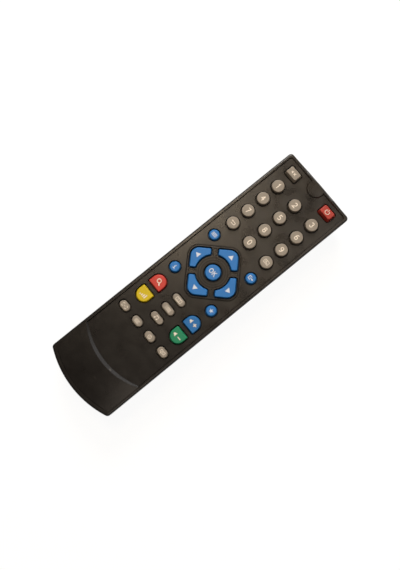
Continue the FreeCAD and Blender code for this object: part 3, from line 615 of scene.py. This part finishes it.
def arc_line(x, y, radius, start=0.0, end=360.0, height=None):
    """Points on an arc, or on an oval's, in degrees from +X. A full turn lacks its last point."""
    height = height or radius
    turn = end - start
    full = abs(turn) >= 360
    steps = arc_points if full else max(3, round(arc_points * abs(turn) / 360))
    count = steps if full else steps + 1
    angles = [math.radians(start + turn * i / steps) for i in range(count)]
    return [(x + radius * math.cos(angle), y + height * math.sin(angle)) for angle in angles]


def filled(work, points):
    """Adds a flat face through points."""
    level = stroke_rise * len(work.verts)
    work.faces.new([work.verts.new((x, y, level)) for x, y in points])


def oval(x, y, half_width, half_height):
    """Points of a rounded oval, as for the digit 0."""
    points = []
    for i in range(arc_points):
        angle = 2 * math.pi * i / arc_points
        across, up = math.cos(angle), math.sin(angle)
        across = math.copysign(abs(across) ** 0.85, across)
        points.append((x + half_width * across, y + half_height * up))
    return points


def digit(work, number, width):
    """Draws a digit 2 * digit_half high, upright, about the middle."""
    top, side = digit_half - width / 2, 0.64 * digit_half - width / 2
    hook = 0.4 * side
    tall = 2 * top - side
    strokes = {
        0: [oval(0, 0, side, top)],
        1: [[(-0.55 * side, 0.55 * top), (0.25 * side, top), (0.25 * side, -top - width / 2)]],
        2: [arc_line(0, top - side, side, 160, -35) + [(-side, -top), (side + width / 4, -top)]],
        3: [arc_line(0, top - 0.9 * side, 0.9 * side, 168, -80),
            arc_line(0, side - top, side, 85, -168)],
        4: [[(0.45 * side, -top - width / 2), (0.45 * side, top)],
            [(0.45 * side, top), (-side, -0.35 * top), (side + width / 2, -0.35 * top)]],
        5: [[(0.85 * side, top), (-0.75 * side, top), (-0.9 * side, 0.12 * top)]
            + arc_line(0, side - top, side, 125, -145)],
        6: [arc_line(0, side - top, side),
            arc_line(hook, side - top, hook + side, 180, 72, tall)],
        7: [[(-side, top), (side, top), (-0.35 * side, -top - width / 2)]],
        8: [arc_line(0, side - top, side), arc_line(0, top - 0.85 * side, 0.85 * side)],
        9: [arc_line(0, top - side, side),
            arc_line(-hook, top - side, hook + side, 0, -108, tall)],
    }
    for stroke in strokes[number]:
        closed = number in (0, 6, 8, 9) and len(stroke) == arc_points
        ribbon(work, stroke, width, closed)


def middle_word(work):
    ribbon(work, oval(-1.25, 0, 0.88, 1.12), word_width, True)
    ribbon(work, [(0.45, -1.34), (0.45, 1.34)], word_width)
    ribbon(work, [(1.95, 1.34), (0.6, -0.05)], word_width)
    ribbon(work, [(0.95, 0.35), (2.05, -1.34)], word_width)


def speaker(work, x):
    filled(work, [(x - 0.9, -0.4), (x - 0.4, -0.4), (x + 0.1, -0.9),
                  (x + 0.1, 0.9), (x - 0.4, 0.4), (x - 0.9, 0.4)])


def mute_sign(work):
    speaker(work, -0.6)
    ribbon(work, [(0.15, -0.6), (1.35, 0.6)])
    ribbon(work, [(0.15, 0.6), (1.35, -0.6)])


def power_sign(work):
    ribbon(work, arc_line(0, 0, 1.2, 125, 415), 0.30)
    ribbon(work, [(0, 0.3), (0, 1.55)], 0.30)


def recall_sign(work):
    ribbon(work, [(-1.0, -0.75)] + arc_line(0.8, -0.1, 0.65, -90, 90) + [(-0.7, 0.55)])
    filled(work, [(-1.6, 0.55), (-0.7, 0.0), (-0.7, 1.1)])


def subtitle_sign(work):
    ribbon(work, [(-1.5, -0.95), (1.5, -0.95), (1.5, 0.95), (-1.5, 0.95)], 0.28, True)
    ribbon(work, [(-1.0, -0.35), (1.0, -0.35)], 0.34)
    ribbon(work, [(-1.0, 0.3), (0.3, 0.3)], 0.34)


def menu_sign(work):
    for y in (-0.7, 0.0, 0.7):
        ribbon(work, [(-1.5, y), (1.5, y)])


def exit_sign(work):
    ribbon(work, [(0.1, -0.85), (-1.4, -0.85), (-1.4, 0.85), (0.1, 0.85)])
    ribbon(work, [(-0.6, 0.0), (0.8, 0.0)])
    filled(work, [(1.6, 0.0), (0.8, 0.65), (0.8, -0.65)])


def info_sign(work):
    ribbon(work, [(-0.7, -0.95), (0.7, -0.95)])
    ribbon(work, [(-0.55, 0.2), (0.0, 0.2), (0.0, -0.78)])
    filled(work, arc_line(0, 0.85, 0.28))


def favourites_sign(work):
    points = []
    for i in range(10):
        reach = 1.3 if i % 2 == 0 else 0.55
        angle = math.radians(90 + 36 * i)
        points.append((reach * math.cos(angle), reach * math.sin(angle)))
    filled(work, points)


def search_sign(work):
    ribbon(work, arc_line(-0.25, 0.25, 0.85), line_width, True)
    ribbon(work, [(0.38, -0.38), (1.3, -1.2)], 0.5)


def scan_sign(work):
    for place, height in enumerate((0.5, 0.95, 1.4, 1.85)):
        x = (place - 1.5) * 0.85
        ribbon(work, [(x, -0.9), (x, -0.9 + height)], 0.5)


def volume_sign(work, up):
    speaker(work, -0.75)
    ribbon(work, [(0.3, 0.0), (1.7, 0.0)])
    if up:
        for side in (-1, 1):
            ribbon(work, [(1.0, side * line_width / 2), (1.0, side * 0.7)])


def guide_sign(work):
    ribbon(work, [(-1.5, -0.75), (1.5, -0.75), (1.5, 0.75), (-1.5, 0.75)], 0.26, True)
    for x in (-0.5, 0.5):
        ribbon(work, [(x, -0.62), (x, 0.62)], 0.22)


def list_sign(work):
    for y in (-0.6, 0.0, 0.6):
        ribbon(work, [(-1.5, y), (-1.15, y)], 0.28)
        ribbon(work, [(-0.8, y), (1.5, y)], 0.28)


def audio_sign(work):
    for x in (-0.75, 0.55):
        filled(work, arc_line(x - 0.25, -0.6, 0.32))
        ribbon(work, [(x, -0.6), (x, 0.6)], 0.22)
    ribbon(work, [(-0.86, 0.72), (0.66, 0.72)], 0.32)


def zoom_sign(work):
    for side in (-1, 1):
        ribbon(work, [(side * 0.6, 0.75), (side * 1.4, 0.75), (side * 1.4, 0.2)], 0.28)
        ribbon(work, [(side * 0.6, -0.75), (side * 1.4, -0.75), (side * 1.4, -0.2)], 0.28)
    ribbon(work, [(-0.5, 0.0), (0.5, 0.0)], 0.3)


def text_sign(work):
    for y, end in ((0.65, 1.4), (0.0, 0.9), (-0.65, 1.2)):
        ribbon(work, [(-1.4, y), (end, y)], 0.3)


def timer_sign(work):
    ribbon(work, arc_line(0, 0, 0.85), 0.26, True)
    ribbon(work, [(0.0, 0.5), (0.0, 0.0), (0.4, -0.25)], 0.24)


def language_sign(work):
    ribbon(work, [(-1.3, -0.35), (-1.3, 0.8), (1.3, 0.8), (1.3, -0.35),
                  (0.1, -0.35), (-0.5, -0.9), (-0.5, -0.35)], 0.26, True)
    ribbon(work, [(-0.7, 0.22), (0.7, 0.22)], 0.28)


signs = {
    "mute_key": (mute_sign, 1.0),
    "power_key": (power_sign, 1.0),
    "recall_key": (recall_sign, 1.0),
    "subtitle_key": (subtitle_sign, 1.0),
    "menu_key": (menu_sign, 1.0),
    "exit_key": (exit_sign, 1.0),
    "info_key": (info_sign, 1.0),
    "favourites_key": (favourites_sign, 1.0),
    "search_key": (search_sign, 1.25),
    "scan_key": (scan_sign, 1.25),
    "volume_up_key": (lambda work: volume_sign(work, True), 1.45),
    "volume_down_key": (lambda work: volume_sign(work, False), 1.45),
    "guide_key": (guide_sign, 1.2),
    "list_key": (list_sign, 1.2),
    "audio_key": (audio_sign, 1.2),
    "zoom_key": (zoom_sign, 1.1),
    "text_key": (text_sign, 1.1),
    "timer_key": (timer_sign, 1.1),
    "language_key": (language_sign, 1.1),
}
white_signs = ("menu_key", "exit_key", "info_key", "favourites_key")


def drawn(name, draw, scale=1.0):
    """Mesh of what draw adds in millimetres, in metres."""
    work = bmesh.new()
    draw(work)
    mesh = bpy.data.meshes.new(name)
    work.to_mesh(mesh)
    work.free()
    mesh.transform(Matrix.Scale(scale * mm, 4))
    return mesh


def print_legends():
    """Digits, pictograms, the middle key's word and the arrows, each on its key."""
    cream = ink("cream_ink", cream_ink)
    white = ink("white_ink", white_ink)
    for number in range(10):
        mesh = drawn(f"digit_{number}", lambda work: digit(work, number, digit_width))
        printed(f"digit_{number}", f"key_{number}", mesh, cream)
    printed("middle_word", "ok_key", drawn("middle_word", middle_word), white)
    for key, (draw, scale) in signs.items():
        mesh = drawn(key + "_sign", draw, scale)
        printed(key + "_sign", key, mesh, white if key in white_signs else cream)
    middle = key_top("ok_key")
    corners = [(-arrow_half_width, arrow_start), (arrow_half_width, arrow_start), (0, arrow_end)]
    for quarter, key in enumerate(("up_key", "left_key", "down_key", "right_key")):
        mesh = drawn(key + "_arrow", lambda work: filled(work, corners))
        mesh.transform(Matrix.Rotation(math.radians(90 * quarter), 4, "Z"))
        printed(key + "_arrow", key, mesh, white, Vector((middle.x, middle.y, key_top(key).z)))


def door_arrow():
    """Raised arrow on the battery door, in its recess, that shows which way it slides off."""
    low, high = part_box("battery_door")
    mesh = drawn("door_arrow", lambda work: filled(work, door_arrow_outline))
    arrow = bpy.data.objects.new("door_arrow", mesh)
    bpy.context.scene.collection.objects.link(arrow)
    mesh.materials.append(nodes["battery_door"].data.materials[0])
    body = arrow.modifiers.new("thickness", "SOLIDIFY")
    body.thickness = door_arrow_thickness
    body.offset = 0.0
    arrow.location = ((low.x + high.x) / 2, high.y - door_arrow_back, door_arrow_level)
    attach(arrow, "door")


def table_top():
    """White to the camera and in gloss, with the remote's faint shadow."""
    mesh = bpy.data.meshes.new("table_top")
    corners = [(-1, -1, 0), (1, -1, 0), (1, 1, 0), (-1, 1, 0)]
    mesh.from_pydata([Vector(corner) * table_reach for corner in corners], [], [(0, 1, 2, 3)])
    table = bpy.data.objects.new("table_top", mesh)
    table.location.z = -table_gap
    bpy.context.scene.collection.objects.link(table)
    finish = bpy.data.materials.new("white_table")
    finish.use_nodes = True
    tree = finish.node_tree
    tree.nodes.clear()
    path = node(tree, "LightPath").outputs
    seen = calculated(tree, "MAXIMUM", path["Is Camera Ray"], path["Is Glossy Ray"])
    seen = calculated(tree, "MAXIMUM", seen, path["Is Transmission Ray"])
    share = calculated(tree, "MULTIPLY", seen, table_glow_share)
    paper = node(tree, "BsdfDiffuse", [("Color", (*paper_colour, 1))]).outputs[0]
    glow = node(tree, "Emission", [("Color", (1, 1, 1, 1)), ("Strength", table_glow)]).outputs[0]
    mixed = node(tree, "MixShader", [(0, share), (1, paper), (2, glow)]).outputs[0]
    node(tree, "OutputMaterial", [("Surface", mixed)])
    mesh.materials.append(finish)


def world_light():
    """Dim warm room, and white where the camera sees past the table."""
    world = bpy.data.worlds.new("room")
    world.use_nodes = True
    tree = world.node_tree
    tree.nodes.clear()
    seen = node(tree, "LightPath").outputs["Is Camera Ray"]
    inputs = [("Color", (*world_tint, 1)), ("Strength", world_level)]
    room = node(tree, "Background", inputs).outputs[0]
    white = node(tree, "Background", [("Color", (1, 1, 1, 1)), ("Strength", 1.0)]).outputs[0]
    mixed = node(tree, "MixShader", [(0, seen), (1, room), (2, white)]).outputs[0]
    node(tree, "OutputWorld", [("Surface", mixed)])
    bpy.context.scene.world = world


def place_lamps():
    for name, place, width, height, power, colour in lamps:
        light = bpy.data.lights.new(name, "AREA")
        light.shape = "ELLIPSE"
        light.size = width
        light.size_y = height
        light.energy = power
        light.color = colour
        lamp = bpy.data.objects.new(name, light)
        lamp.location = place
        lamp.rotation_euler = (-Vector(place)).to_track_quat("-Z", "Y").to_euler()
        lamp.visible_camera = False
        bpy.context.scene.collection.objects.link(lamp)


def place_camera():
    data = bpy.data.cameras.new("camera")
    data.lens = camera_lens
    data.sensor_width = camera_frame
    data.clip_start = camera_near
    camera = bpy.data.objects.new("camera", data)
    turn = Matrix((camera_right, -camera_down, -camera_forward)).transposed()
    camera.matrix_world = Matrix.Translation(camera_place) @ turn.to_4x4()
    bpy.context.scene.collection.objects.link(camera)
    bpy.context.scene.camera = camera


finish_nodes()
print_legends()
door_arrow()
table_top()
world_light()
place_lamps()
place_camera()
bpy.context.scene.view_settings.view_transform = "Standard"

bpy.context.view_layer.update()
